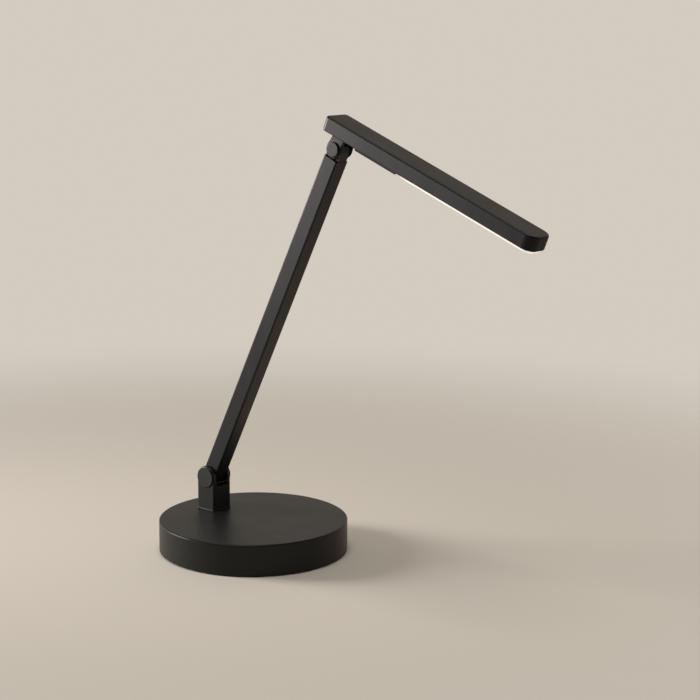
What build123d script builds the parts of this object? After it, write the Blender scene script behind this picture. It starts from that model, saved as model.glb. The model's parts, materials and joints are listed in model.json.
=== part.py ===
from build123d import *
import math
import os

# A desk lamp: a weighted round base, a forked post, a square arm and a slim light bar.
# Millimetres. The origin is the middle of the base's underside, +Z is up, the arm leans to +X,
# and the hinges turn about Y. "Left" is +Y, "right" is -Y.

# Shared by all the pieces
overcut = 1.0               # cuts run this far past the faces that they open
hole_runout = 0.5           # tapped holes run this much past their screws
web_root = 0.5              # ribs and webs run this far into the wall beside them

# Base
base_diameter = 162.2
base_height = 27.5
base_wall = 2.2
base_top = 2.6
base_edge_round = 1.4
base_rim_round = 0.5
rim_gap = 0.9               # the shell's rim stops this far above the table
foot_pad_inset = 5.0        # from the base's edge in to the pad's edge
foot_pad_thickness = 1.6
foot_pad_chamfer = 0.3
base_plate_thickness = 2.0
base_plate_chamfer = 0.4
base_plate_play = 0.2
boss_radius = 4.5
boss_wall_distance = 13.8   # from the base's inner wall in to the bosses' centres
boss_count = 4
base_screw_radius = 1.5
base_screw_head_radius = 3.0
base_screw_length = 11.0
rib_half = 1.0
rib_rise = 2.0              # from the counterweight up to the ribs
weight_gap = 3.8            # from the counterweight out to the base's inner wall
weight_thickness = 9.5
weight_chamfer = 1.0
weight_clearance = 0.6      # round each bay and boss hole in the counterweight

# Battery, board and charging inlet inside the base
cell_diameter = 18.4
cell_length = 65.0
cell_x = 27.0
cradle_floor = 0.9
cradle_wall = 1.6
cradle_side_height = 9.0
cradle_end_height = 16.0
cell_play = 0.2
contact_thickness = 0.5
contact_width = 11.0
board_length = 31.0
board_width = 30.0
board_thickness = 1.6
board_standoff = 3.5
board_rear_gap = 2.6        # from the base's inner wall to the board's rear edge
board_screw_radius = 1.25
board_screw_head_radius = 2.3
board_screw_head_height = 1.6
board_screw_head_round = 0.7
board_screw_bite = 3.6
coil_size = (7.0, 7.0, 3.2)
coil_place = (2.5, 7.5)      # from the board's middle, forward and to the left
coil_corner = 1.2
charger_size = (5.0, 5.0, 0.9)
charger_place = (-0.5, -7.5)
driver_size = (4.0, 4.0, 1.2)
driver_place = (6.5, -3.8)
connector_size = (5.2, 3.2, 5.0)
standoff_radius = 2.6
inlet_width = 8.94
inlet_height = 3.26
inlet_depth = 7.4
inlet_metal = 0.3
inlet_recess = 0.6          # the inlet's mouth lies this far inside the base's outer face
inlet_gap = 0.25
inlet_mouth_chamfer = 0.8
tongue_length = 4.5
tongue_half = 3.35
tongue_thickness = 0.7
insulator_length = 1.6
wire_radius = 1.0
wire_play = 0.2
battery_wire_radius = 0.7
battery_wire_bend = 3.0
battery_wire_drop = 4.2     # the leads come down this far behind the board's front edge
battery_wire_turn = 7.8     # and turn this far in front of it
battery_wire_side = 9.0
cell_nub_radius = 2.9
cell_nub_height = 1.6
cell_crimp = 0.5
cell_crimp_width = 1.5
cell_crimp_below = 2.0      # from the cell's shoulder down to the crimp
board_corner = 1.5

# Post and lower hinge
post_rim_distance = 33.8    # from the base's rear edge to the post's centre
post_depth = 19.7
post_width = 21.0
post_corner = 1.2
post_foot_height = 1.4
post_foot_margin = 0.5
post_foot_chamfer = 0.45
lower_pivot_height = 56.8
lower_tongue = 13.4
lower_washer_radius = 6.4
lower_cap_radius = 9.1
lower_cap_height = 1.1
lower_head_radius = 4.7
lower_pocket_depth = 1.3
slot_floor_gap = 0.6
backing_length = 40.0
backing_width = 34.0
backing_thickness = 2.0
post_screw_radius = 2.0
post_screw_head_radius = 3.8
post_screw_head_height = 2.6
post_screw_head_round = 0.6
post_screw_bite = 11.0
post_screw_spread = 10.4
post_screw_forward = 4.2
backing_corner = 3.0

# Arm
arm_length = 326.2          # from the lower pivot to the upper pivot
arm_tilt = 25.9             # degrees from upright, as photographed
arm_section = 14.5
arm_wall = 1.3
arm_corner = 1.4
arm_bore_corner = 0.5
plug_corner = 0.6
plug_length = 28.0
plug_play = 0.05
tube_ear_gap = 0.4          # from an ear's rim to the tube's end
arm_wire_offset = 3.9       # the lead passes behind the hinge pins
neck_inset = 0.25           # the knuckles stand this far inside the tube's front and rear faces
knuckle_screw_radius = 1.5
knuckle_screw_head_radius = 2.75
knuckle_screw_length = 8.0

# Hinge hardware, shared by both hinges
pin_radius = 2.0
pin_play = 0.05             # running fit in the arm's eyes
thread_play = 0.02
washer_thickness = 0.45
washer_play = 0.05
washer_hole_play = 0.1
spring_thickness = 0.35
spring_inset = 0.3          # the disc springs are this much smaller than the screw heads
hinge_head_height = 1.1
hinge_head_chamfer = 0.4
hinge_pocket_play = 0.3     # round the screw head in its ear's pocket
cap_recess_play = 0.15      # behind the caps, over the screw heads
cap_neck_height = 0.3       # the caps stand off by a thin shadow line
cap_neck_inset = 0.8
cap_edge_round = 0.3

# Upper hinge
upper_ear_radius = 8.0
upper_ear_thickness = 2.4
upper_tongue = 10.2
upper_washer_radius = 5.8
upper_cap_radius = 6.1
upper_cap_height = 1.3
upper_head_radius = 3.8
upper_pocket_depth = 0.9
bracket_plate = 1.7
bracket_rear = 4.0
bracket_front = 7.2
bracket_bend = 1.1
bracket_screw_radius = 1.25
bracket_screw_head_radius = 2.4
bracket_screw_length = 7.0
bracket_screw_spread = 6.2
bracket_screw_forward = 4.2
bracket_wire_back = 1.2     # the lead's hole lies this far behind the pivot

# Light head
head_pitch = 21.7           # degrees nose down, as photographed
head_rise = 11.6            # from the upper pivot to the head's underside
head_rear = 13.7            # from the upper pivot back to the near end
head_front = 203.0          # from the upper pivot forward to the far end
head_width = 25.6
head_height = 12.2
head_far_corner = 9.0
head_near_corner = 3.6
head_top_round = 1.6
head_under_round = 1.2
head_wall = 2.0
head_pocket_start = 21.0
head_pocket_corner = 2.0
tape_thickness = 0.25
led_board_lap = 7.0         # the light board starts this far behind the diffuser
led_board_thickness = 1.2
led_board_play = 0.3
led_lead_overlap = 6.0      # the leads run this far along the light board
led_lead_spread = 1.8
led_count = 24
led_length = 2.8
led_width = 3.5
led_height = 0.8
led_end_gap = 8.0           # from the diffuser's ends to the middles of the end LEDs
diffuser_start = 66.0
diffuser_drop = 2.0         # the diffuser and the switch cover stand this far below the bar
diffuser_near_corner = 1.5
diffuser_play = 0.15
diffuser_wall = 1.3
diffuser_floor = 1.4
diffuser_round = 0.8
cover_floor = 1.6
cover_wall = 1.3
cover_edge_round = 0.5
cover_seat = 1.6            # the cover reaches this far up into the bar
cover_screw_radius = 1.0
cover_screw_head_radius = 1.9
cover_screw_length = 8.0
cover_boss_radius = 2.5
cover_screw_side = 7.2
cover_screw_rear = 4.5      # from the cover's rear end to its rear screws
cover_screw_front = 10.5    # from the diffuser back to the cover's front screws
cover_web_half = 0.8
head_wire_level = 4.9       # the lead's height inside the head, from the underside
head_wire_bend = 3.0
head_wire_ramp = 6.0        # the lead climbs to the switch board over this length

# Push switch under the head
switch_station = 39.0
switch_board_length = 16.0
switch_board_width = 14.0
switch_body_size = 7.5
switch_body_height = 6.0
switch_corner = 0.6
button_radius = 4.5
button_play = 0.2
button_flange = 1.1
button_flange_thickness = 0.7
button_drop = 1.6
button_travel = 1.2
button_round = 0.6
plunger_radius = 1.6
plunger_reach = 1.8
plunger_socket = 1.0
plunger_over_travel = 0.3
flange_gap = 0.1            # between the button's flange and the cover
switch_wire_gap = 0.8

# Heights and places worked out from the sizes above
base_radius = base_diameter / 2
base_inner_radius = base_radius - base_wall
boss_circle_radius = base_inner_radius - boss_wall_distance
weight_radius = base_inner_radius - weight_gap
foot_pad_radius = base_radius - foot_pad_inset
ceiling_z = base_height - base_top
plate_z = foot_pad_thickness
floor_z = plate_z + base_plate_thickness
weight_top_z = floor_z + weight_thickness
board_z = floor_z + board_standoff
board_top_z = board_z + board_thickness
board_rear_x = board_rear_gap - base_inner_radius
board_front_x = board_rear_x + board_length
inlet_z = board_top_z + inlet_height / 2
pivot_x = post_rim_distance - base_radius
lower_ear_radius = post_depth / 2
post_wire_x = pivot_x - arm_wire_offset
foot_top_z = base_height + post_foot_height
arm_frame = Location((pivot_x, 0, lower_pivot_height), (0, arm_tilt, 0))
upper_pivot = arm_frame * Location((0, 0, arm_length))
head_frame = Location(tuple(upper_pivot.position), (0, head_pitch, 0))
eye_radius = arm_section / 2 - neck_inset
lower_slot = lower_tongue / 2 + washer_thickness + washer_play
upper_slot = upper_tongue / 2 + washer_thickness + washer_play
upper_face = upper_slot + upper_ear_thickness
tube_start = lower_ear_radius + tube_ear_gap
tube_end = arm_length - upper_ear_radius - tube_ear_gap
head_top = head_rise + head_height
pocket_half = head_width / 2 - head_wall
pocket_end = head_front - head_wall
pocket_top = head_top - head_wall
under_face = head_rise - diffuser_drop
cover_top = head_rise + cover_seat
cover_screw_stations = (head_pocket_start + cover_screw_rear, diffuser_start - cover_screw_front)
led_board_start = diffuser_start - led_board_lap
board_face = pocket_top - tape_thickness - led_board_thickness
switch_face = board_face - switch_body_height


def block(x0, x1, y0, y1, z0, z1):
    return Pos((x0 + x1) / 2, (y0 + y1) / 2, (z0 + z1) / 2) * Box(x1 - x0, y1 - y0, z1 - z0)


def post_z(radius, x, y, z0, z1):
    return Pos(x, y, (z0 + z1) / 2) * Cylinder(radius, z1 - z0)


def rod_y(radius, x, z, y0, y1):
    return Pos(x, (y0 + y1) / 2, z) * Rot(90, 0, 0) * Cylinder(radius, y1 - y0)


def turned_y(points):
    """Turn a profile of (radius, y) points about the Y axis."""
    return revolve(make_face(Polyline(*points, close=True)), Axis.Y)


def turned_z(points):
    """Turn a profile of (radius, z) points about the Z axis."""
    return revolve(Plane.XZ * make_face(Polyline(*points, close=True)), Axis.Z)


def ring_of_places(radius, count):
    step = 360.0 / count
    angles = [math.radians(step / 2 + step * i) for i in range(count)]
    return [(radius * math.cos(a), radius * math.sin(a)) for a in angles]


boss_places = ring_of_places(boss_circle_radius, boss_count)
post_screw_places = [
    (pivot_x + post_screw_forward, side * post_screw_spread / 2) for side in (-1, 1)
]
board_screw_places = [
    (board_front_x - standoff_radius, side * (board_width / 2 - standoff_radius)) for side in (-1, 1)
]


# Base
def base_shell():
    shell = post_z(base_radius, 0, 0, rim_gap, base_height)
    shell = fillet(shell.edges().group_by(Axis.Z)[-1], base_edge_round)
    shell = fillet(shell.edges().group_by(Axis.Z)[0], base_rim_round)
    shell -= post_z(base_inner_radius, 0, 0, 0, ceiling_z)
    for x, y in boss_places:
        angle = math.degrees(math.atan2(y, x))
        rib = block(boss_circle_radius, base_inner_radius + web_root, -rib_half, rib_half,
                    weight_top_z + rib_rise, ceiling_z)
        shell += post_z(boss_radius, x, y, floor_z, ceiling_z) + Rot(0, 0, angle) * rib
    for x, y in boss_places:
        hole_top = plate_z + base_screw_length + hole_runout
        shell -= post_z(base_screw_radius + thread_play, x, y, 0, hole_top)
    for x, y in post_screw_places:
        shell -= post_z(post_screw_radius + wire_play, x, y, ceiling_z - overcut, base_height + overcut)
    shell -= post_z(wire_radius + wire_play, post_wire_x, 0, ceiling_z - overcut, base_height + overcut)
    shell -= inlet_slot()
    return shell


def inlet_slot():
    width = inlet_width + 2 * inlet_gap
    height = inlet_height + 2 * inlet_gap
    plane = Plane((-base_radius, 0, inlet_z), x_dir=(0, 1, 0), z_dir=(1, 0, 0))
    slot = extrude(plane * SlotOverall(width, height), base_wall + overcut)
    wide = 2 * inlet_mouth_chamfer
    mouth = extrude(plane * SlotOverall(width + wide, height + wide), inlet_mouth_chamfer, taper=45)
    return slot + mouth


def base_plate():
    plate = post_z(base_inner_radius - base_plate_play, 0, 0, plate_z, floor_z)
    plate = chamfer(plate.edges().group_by(Axis.Z)[0], base_plate_chamfer)
    for x, y in board_screw_places:
        plate += post_z(standoff_radius, x, y, floor_z, board_z)
        hole_low = board_z - board_screw_bite - hole_runout
        plate -= post_z(board_screw_radius + thread_play, x, y, hole_low, board_z)
    for x, y in boss_places:
        plate -= Pos(x, y, 0) * countersunk_screw(plate_z, thread_play)
    return plate


def countersunk_screw(head_z, play):
    """A countersunk screw standing on its head at head_z, or its seat when play is added."""
    head = base_screw_head_radius + play
    shank = base_screw_radius + play
    cone = head - shank
    tip_z = head_z + base_screw_length
    return turned_z([(0, head_z), (head, head_z), (shank, head_z + cone), (shank, tip_z), (0, tip_z)])


def base_plate_screws():
    return Part(children=[Pos(x, y, 0) * countersunk_screw(plate_z, 0) for x, y in boss_places])


def foot_pad():
    pad = post_z(foot_pad_radius, 0, 0, 0, foot_pad_thickness)
    return chamfer(pad.edges().group_by(Axis.Z)[0], foot_pad_chamfer)


def counterweight():
    weight = post_z(weight_radius, 0, 0, floor_z, weight_top_z)
    weight = chamfer(weight.edges().group_by(Axis.Z)[-1], weight_chamfer)
    for x, y in boss_places:
        weight -= post_z(boss_radius + weight_clearance, x, y, 0, base_height)
    half_x = cell_diameter / 2 + cell_play + cradle_wall + weight_clearance
    half_y = cell_length / 2 + contact_thickness + cradle_wall + weight_clearance
    weight -= block(cell_x - half_x, cell_x + half_x, -half_y, half_y, 0, base_height)
    bay_half = board_width / 2 + weight_clearance
    weight -= block(-base_radius, board_front_x + weight_clearance, -bay_half, bay_half, 0, base_height)
    return weight


# Battery and board
def cell_centre_z():
    return floor_z + cradle_floor + cell_play + cell_diameter / 2


def battery_cell():
    r = cell_diameter / 2
    half = cell_length / 2
    shoulder = half - cell_nub_height
    crimp_top = shoulder - cell_crimp_below
    profile = [
        (0, -half),
        (r, -half),
        (r, crimp_top - cell_crimp_width),
        (r - cell_crimp, crimp_top - cell_crimp_width / 2),
        (r, crimp_top),
        (r, shoulder),
        (cell_nub_radius, shoulder),
        (cell_nub_radius, half),
        (0, half),
    ]
    return Pos(cell_x, 0, cell_centre_z()) * turned_y(profile)


def battery_cradle():
    half_x = cell_diameter / 2 + cell_play + cradle_wall
    inner_y = cell_length / 2 + contact_thickness
    outer_y = inner_y + cradle_wall
    tray = block(cell_x - half_x, cell_x + half_x, -outer_y, outer_y, floor_z, floor_z + cradle_side_height)
    tray -= rod_y(cell_diameter / 2 + cell_play, cell_x, cell_centre_z(), -inner_y, inner_y)
    end_half = contact_width / 2 + cradle_wall
    for side in (-1, 1):
        y0, y1 = sorted((side * inner_y, side * outer_y))
        tray += block(cell_x - end_half, cell_x + end_half, y0, y1, floor_z, floor_z + cradle_end_height)
    return tray


def battery_contacts():
    plates = []
    inner_y = cell_length / 2
    top = floor_z + cradle_end_height
    for side in (-1, 1):
        y0, y1 = sorted((side * inner_y, side * (inner_y + contact_thickness)))
        bottom = cell_centre_z() - contact_width / 2
        half = contact_width / 2
        plates.append(block(cell_x - half, cell_x + half, y0, y1, bottom, top))
    return Part(children=plates)


def battery_leads():
    leads = []
    level = weight_top_z + battery_wire_radius
    start_x = cell_x - cell_diameter / 2 - cell_play - cradle_wall
    drop_x = board_front_x - battery_wire_drop
    for side in (-1, 1):
        tab_y = side * (cell_length / 2 + contact_thickness + cradle_wall + battery_wire_radius)
        drop_y = side * battery_wire_side
        points = [
            (cell_x, tab_y, level),
            (start_x, tab_y, level),
            (board_front_x + battery_wire_turn, drop_y, level),
            (drop_x, drop_y, level),
            (drop_x, drop_y, board_top_z),
        ]
        leads.append(sweep_tube(FilletPolyline(*points, radius=battery_wire_bend), battery_wire_radius))
    return Part(children=leads)


def sweep_tube(path, radius):
    return sweep(Plane(origin=path @ 0, z_dir=path % 0) * Circle(radius), path=path)


def control_board():
    half = board_width / 2
    board = block(board_rear_x, board_front_x, -half, half, board_z, board_top_z)
    board = fillet(board.edges().filter_by(Axis.Z), board_corner)
    for x, y in board_screw_places:
        board -= post_z(board_screw_radius + wire_play, x, y, 0, base_height)
    return board


def board_components():
    middle = (board_rear_x + board_front_x) / 2
    coil = on_board(middle, coil_place, coil_size)
    coil = fillet(coil.edges().filter_by(Axis.Z), coil_corner)
    charger = on_board(middle, charger_place, charger_size)
    driver = on_board(middle, driver_place, driver_size)
    plug = on_board(post_wire_x, (0, 0), connector_size)
    return Part(children=[coil, charger, driver, plug])


def on_board(middle, place, size):
    x = middle + place[0]
    y = place[1]
    length, width, height = size
    return Pos(x, y, board_top_z + height / 2) * Box(length, width, height)


def board_screws():
    screws = []
    for x, y in board_screw_places:
        r = board_screw_radius
        head = board_screw_head_radius
        low = board_z - board_screw_bite
        top = board_top_z + board_screw_head_height
        edge = board_screw_head_round
        profile = [
            (0, low),
            (r, low),
            (r, board_top_z),
            (head, board_top_z),
            (head, top - edge),
            (head - edge, top),
            (0, top),
        ]
        screws.append(Pos(x, y, 0) * turned_z(profile))
    return Part(children=screws)


def inlet_mouth_x():
    return inlet_recess - base_radius


def inlet_shell():
    plane = Plane((inlet_mouth_x(), 0, inlet_z), x_dir=(0, 1, 0), z_dir=(1, 0, 0))
    outer = extrude(plane * SlotOverall(inlet_width, inlet_height), inlet_depth)
    inner = SlotOverall(inlet_width - 2 * inlet_metal, inlet_height - 2 * inlet_metal)
    return outer - extrude(plane * inner, inlet_depth - inlet_metal)


def inlet_insulator():
    back = inlet_mouth_x() + inlet_depth - inlet_metal
    front = back - insulator_length
    plane = Plane((front, 0, inlet_z), x_dir=(0, 1, 0), z_dir=(1, 0, 0))
    moulding = SlotOverall(inlet_width - 2 * inlet_metal, inlet_height - 2 * inlet_metal)
    half = tongue_thickness / 2
    tongue = block(front - tongue_length, back, -tongue_half, tongue_half, inlet_z - half, inlet_z + half)
    return extrude(plane * moulding, insulator_length) + tongue


# Post and lower hinge
def post_foot():
    length = post_depth + 2 * post_foot_margin
    width = post_width + 2 * post_foot_margin
    foot = Pos(pivot_x, 0, base_height + post_foot_height / 2) * Box(length, width, post_foot_height)
    foot = fillet(foot.edges().filter_by(Axis.Z), post_corner + post_foot_margin)
    foot = chamfer(foot.edges().group_by(Axis.Z)[-1], post_foot_chamfer)
    return foot - post_holes(post_screw_radius + wire_play)


def post_holes(screw_hole):
    holes = post_z(wire_radius + wire_play, post_wire_x, 0, 0, lower_pivot_height)
    for x, y in post_screw_places:
        holes += post_z(screw_hole, x, y, 0, foot_top_z + post_screw_bite + hole_runout)
    return holes


def hinge_post():
    """The post's side view, with a full round top, drawn out to its width and forked by a slot."""
    half = post_width / 2
    height = lower_pivot_height - foot_top_z
    side_view = Pos(0, -height / 2) * Rectangle(post_depth, height) + Circle(lower_ear_radius)
    post = lower_place(extrude(Plane.XZ * side_view, half, both=True))
    sides = post.edges().group_by(Axis.Y)
    post = fillet(sides[0].sort_by(Axis.Z)[1:] + sides[-1].sort_by(Axis.Z)[1:], post_corner)
    slot_floor = lower_pivot_height - eye_radius - slot_floor_gap
    reach = 2 * lower_ear_radius
    ear_top = lower_pivot_height + reach
    slot = block(pivot_x - reach, pivot_x + reach, -lower_slot, lower_slot, slot_floor, ear_top)
    post -= slot + post_holes(post_screw_radius + thread_play)
    post -= rod_y(pin_radius + pin_play, pivot_x, lower_pivot_height, -half - overcut, 0)
    post -= rod_y(pin_radius + thread_play, pivot_x, lower_pivot_height, 0, half + overcut)
    pocket = lower_head_radius + hinge_pocket_play
    post -= rod_y(pocket, pivot_x, lower_pivot_height, -half - overcut, -half + lower_pocket_depth)
    return post


def backing_plate():
    half = backing_width / 2
    x0 = pivot_x - backing_length / 2
    plate = block(x0, x0 + backing_length, -half, half, ceiling_z - backing_thickness, ceiling_z)
    plate = fillet(plate.edges().filter_by(Axis.Z), backing_corner)
    return plate - post_holes(post_screw_radius + wire_play)


def post_screws():
    seat = ceiling_z - backing_thickness
    low = seat - post_screw_head_height
    tip_z = foot_top_z + post_screw_bite
    head = post_screw_head_radius
    profile = [
        (0, low),
        (head - post_screw_head_round, low),
        (head, low + post_screw_head_round),
        (head, seat),
        (post_screw_radius, seat),
        (post_screw_radius, tip_z),
        (0, tip_z),
    ]
    return Part(children=[Pos(x, y, 0) * turned_z(profile) for x, y in post_screw_places])


def base_lead():
    bottom = board_top_z + connector_size[2]
    top = lower_pivot_height - eye_radius - slot_floor_gap
    return post_z(wire_radius, post_wire_x, 0, bottom, top)


def hinge_screw(face, pocket_depth, head_radius, tip):
    """A shoulder screw along +Y whose head lies in a pocket of the right ear."""
    seat = -face + pocket_depth - spring_thickness
    top = seat - hinge_head_height
    profile = [
        (0, top),
        (head_radius - hinge_head_chamfer, top),
        (head_radius, top + hinge_head_chamfer),
        (head_radius, seat),
        (pin_radius, seat),
        (pin_radius, tip),
        (0, tip),
    ]
    return turned_y(profile)


def disc_spring(face, pocket_depth, head_radius):
    floor = -face + pocket_depth
    radius = head_radius - spring_inset
    hole = pin_radius + washer_hole_play
    top = floor - spring_thickness
    return turned_y([(hole, top), (radius, top), (radius, floor), (hole, floor)])


def friction_washers(slot, radius):
    rings = []
    hole = pin_radius + washer_hole_play
    for side in (-1, 1):
        y0, y1 = sorted((side * slot, side * (slot - washer_thickness)))
        rings.append(turned_y([(hole, y0), (radius, y0), (radius, y1), (hole, y1)]))
    return Part(children=rings)


def hinge_cap(face, radius, height, head_radius, pocket_depth):
    """A round cap on the left ear, hollow behind, on a neck that leaves a shadow line."""
    neck = radius - cap_neck_inset
    outer = face + height
    inner = face + spring_thickness + hinge_head_height - pocket_depth + cap_recess_play
    recess_radius = head_radius + hinge_pocket_play
    brim = face + cap_neck_height
    profile = [
        (0, inner),
        (recess_radius, inner),
        (recess_radius, face),
        (neck, face),
        (neck, brim),
        (radius, brim),
        (radius, outer),
        (0, outer),
    ]
    cap = turned_y(profile)
    return fillet(cap.edges().group_by(Axis.Y)[-1], cap_edge_round)


def lower_cap():
    face = post_width / 2
    return hinge_cap(face, lower_cap_radius, lower_cap_height, lower_head_radius, lower_pocket_depth)


def lower_place(shape):
    return Pos(pivot_x, 0, lower_pivot_height) * shape


# Arm, in its own frame: the lower pivot at the origin and the arm along +Z
def arm_tube():
    middle = (tube_start + tube_end) / 2
    length = tube_end - tube_start
    tube = Pos(0, 0, middle) * Box(arm_section, arm_section, length)
    tube = fillet(tube.edges().filter_by(Axis.Z), arm_corner)
    bore_side = arm_section - 2 * arm_wall
    bore = Pos(0, 0, middle) * Box(bore_side, bore_side, length)
    tube -= fillet(bore.edges().filter_by(Axis.Z), arm_bore_corner)
    for z in knuckle_screw_stations():
        tube -= knuckle_screw(z, thread_play)
    return tube


def knuckle_screw_stations():
    return (tube_start + plug_length / 2, tube_end - plug_length / 2)


def knuckle_screw(z, play):
    """A countersunk screw in the arm's left face."""
    face = arm_section / 2
    head = knuckle_screw_head_radius + play
    shank = knuckle_screw_radius + play
    seat = face - (head - shank)
    tip = face - knuckle_screw_length
    return Pos(0, 0, z) * turned_y([(0, face), (head, face), (shank, seat), (shank, tip), (0, tip)])


def knuckle_screws():
    return Part(children=[knuckle_screw(z, 0) for z in knuckle_screw_stations()])


def knuckle(tongue, reach):
    """An eye with a full round end, and a plug, with the eye at the origin and the plug towards +Z."""
    half = tongue / 2
    eye = rod_y(eye_radius, 0, 0, -half, half)
    neck = block(-eye_radius, eye_radius, -half, half, 0, reach)
    plug_half = arm_section / 2 - arm_wall - plug_play
    plug = block(-plug_half, plug_half, -plug_half, plug_half, reach, reach + plug_length)
    plug = fillet(plug.edges().filter_by(Axis.Z), plug_corner)
    body = eye + neck + plug
    body -= rod_y(pin_radius + pin_play, 0, 0, -half - overcut, half + overcut)
    return body


def wire_channel(z0, z1):
    """The bore for the lead, behind the pins, and open to the rear along the plugs."""
    return post_z(wire_radius + wire_play, -arm_wire_offset, 0, z0, z1)


def plug_groove(z0, z1):
    half = wire_radius + wire_play
    return block(-arm_section, -arm_wire_offset, -half, half, z0, z1)


def lower_knuckle():
    body = knuckle(lower_tongue, tube_start)
    far = tube_start + plug_length
    body -= wire_channel(-eye_radius, far) + plug_groove(tube_start, far)
    return body - knuckle_screw(knuckle_screw_stations()[0], thread_play)


def upper_knuckle():
    body = knuckle(upper_tongue, arm_length - tube_end)
    body = Pos(0, 0, arm_length) * Rot(180, 0, 0) * body
    near = tube_end - plug_length
    body -= wire_channel(near, arm_length + eye_radius) + plug_groove(near, tube_end)
    return body - knuckle_screw(knuckle_screw_stations()[1], thread_play)


def arm_lead():
    end = math.sqrt(eye_radius ** 2 - arm_wire_offset ** 2)
    return post_z(wire_radius, -arm_wire_offset, 0, -end, arm_length + end)


# Light head, in its own frame: the upper pivot at the origin, the bar along +X above it
def head_outline(x0, x1, half, near_corner, far_corner):
    outline = Pos((x0 + x1) / 2, 0) * Rectangle(x1 - x0, 2 * half)
    outline = fillet(outline.vertices().group_by(Axis.X)[0], near_corner)
    return fillet(outline.vertices().sort_by(Axis.X)[-2:], far_corner)


def head_solid(x0, x1, half, near_corner, far_corner, z0, z1):
    return extrude(Pos(0, 0, z0) * head_outline(x0, x1, half, near_corner, far_corner), z1 - z0)


def head_lead_path():
    level = head_rise + head_wire_level
    x = -bracket_wire_back
    board_level = board_face - wire_radius
    start = switch_station - switch_board_length / 2
    end = switch_station - switch_body_size / 2
    points = [
        (x, 0, head_rise - bracket_plate),
        (x, 0, level),
        (start - head_wire_ramp, 0, level),
        (start, 0, board_level),
        (end - switch_wire_gap, 0, board_level),
    ]
    return FilletPolyline(*points, radius=head_wire_bend)


def head_lead():
    return sweep_tube(head_lead_path(), wire_radius)


def wire_passage():
    level = head_rise + head_wire_level
    x = -bracket_wire_back
    points = [(x, 0, head_rise - overcut), (x, 0, level), (head_pocket_start + overcut, 0, level)]
    return sweep_tube(FilletPolyline(*points, radius=head_wire_bend), wire_radius + wire_play)


def head_housing():
    half = head_width / 2
    body = head_solid(-head_rear, head_front, half, head_near_corner, head_far_corner, head_rise, head_top)
    body = fillet(body.edges().group_by(Axis.Z)[-1], head_top_round)
    body = fillet(body.edges().group_by(Axis.Z)[0], head_under_round)
    body -= head_pocket(head_rise - overcut, pocket_top, 0)
    for x in cover_screw_stations:
        for side in (-1, 1):
            y = side * cover_screw_side
            boss = post_z(cover_boss_radius, x, y, cover_top, pocket_top)
            y0, y1 = sorted((y, side * (pocket_half + web_root)))
            web = block(x - cover_web_half, x + cover_web_half, y0, y1, cover_top, pocket_top)
            tip = under_face + cover_screw_length + hole_runout
            body += boss + web
            body -= post_z(cover_screw_radius + thread_play, x, y, head_rise, tip)
    for side in (-1, 1):
        y = side * bracket_screw_spread / 2
        top = head_rise - bracket_plate + bracket_screw_length + hole_runout
        body -= post_z(bracket_screw_radius + thread_play, bracket_screw_forward, y, head_rise - overcut, top)
    return body - wire_passage()


def head_pocket(z0, z1, inset):
    return head_solid(head_pocket_start + inset, pocket_end - inset, pocket_half - inset,
                      head_pocket_corner, head_far_corner - head_wall - inset, z0, z1)


def head_bracket():
    top = head_rise
    plate_low = head_rise - bracket_plate
    bar = Pos((bracket_front - bracket_rear) / 2, (top + plate_low) / 2)
    bar = bar * Rectangle(bracket_front + bracket_rear, bracket_plate)
    side_view = Sketch() + make_hull(Circle(upper_ear_radius).edges() + bar.edges())
    solid = extrude(Plane.XZ * side_view, upper_face, both=True)
    bends = solid.edges().filter_by(Axis.X).group_by(Axis.Z)[-1]
    solid = fillet(bends, bracket_bend)
    reach = 3 * upper_ear_radius
    solid -= block(-reach, reach, -upper_slot, upper_slot, -reach, plate_low)
    solid -= rod_y(pin_radius + pin_play, 0, 0, -upper_face - overcut, 0)
    solid -= rod_y(pin_radius + thread_play, 0, 0, 0, upper_face + overcut)
    pocket = upper_head_radius + hinge_pocket_play
    solid -= rod_y(pocket, 0, 0, -upper_face - overcut, -upper_face + upper_pocket_depth)
    solid -= post_z(wire_radius + wire_play, -bracket_wire_back, 0, plate_low - overcut, top + overcut)
    for side in (-1, 1):
        place = Pos(bracket_screw_forward, side * bracket_screw_spread / 2, 0)
        solid -= place * bracket_screw(thread_play)
    return solid


def bracket_screw(play):
    low = head_rise - bracket_plate
    head = bracket_screw_head_radius + play
    shank = bracket_screw_radius + play
    tip = low + bracket_screw_length
    return turned_z([(0, low), (head, low), (shank, low + head - shank), (shank, tip), (0, tip)])


def bracket_screws():
    places = [Pos(bracket_screw_forward, side * bracket_screw_spread / 2, 0) for side in (-1, 1)]
    return Part(children=[place * bracket_screw(0) for place in places])


def upper_cap():
    face = upper_face
    return hinge_cap(face, upper_cap_radius, upper_cap_height, upper_head_radius, upper_pocket_depth)


def led_board():
    board = head_pocket(board_face, board_face + led_board_thickness, led_board_play)
    return board - block(0, led_board_start, -head_width, head_width, 0, head_top)


def thermal_tape():
    tape = head_pocket(pocket_top - tape_thickness, pocket_top, led_board_play)
    return tape - block(0, led_board_start, -head_width, head_width, 0, head_top)


def led_chips():
    first = diffuser_start + led_end_gap
    pitch = (pocket_end - led_end_gap - first) / (led_count - 1)
    half = led_length / 2
    chips = []
    low = board_face - led_height
    for i in range(led_count):
        x = first + pitch * i
        chips.append(block(x - half, x + half, -led_width / 2, led_width / 2, low, board_face))
    return Part(children=chips)


def diffuser_shape(play, z0, z1):
    far_corner = head_far_corner - head_wall - play
    return head_solid(diffuser_start + play, pocket_end - play, pocket_half - play,
                      diffuser_near_corner, far_corner, z0, z1)


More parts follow.
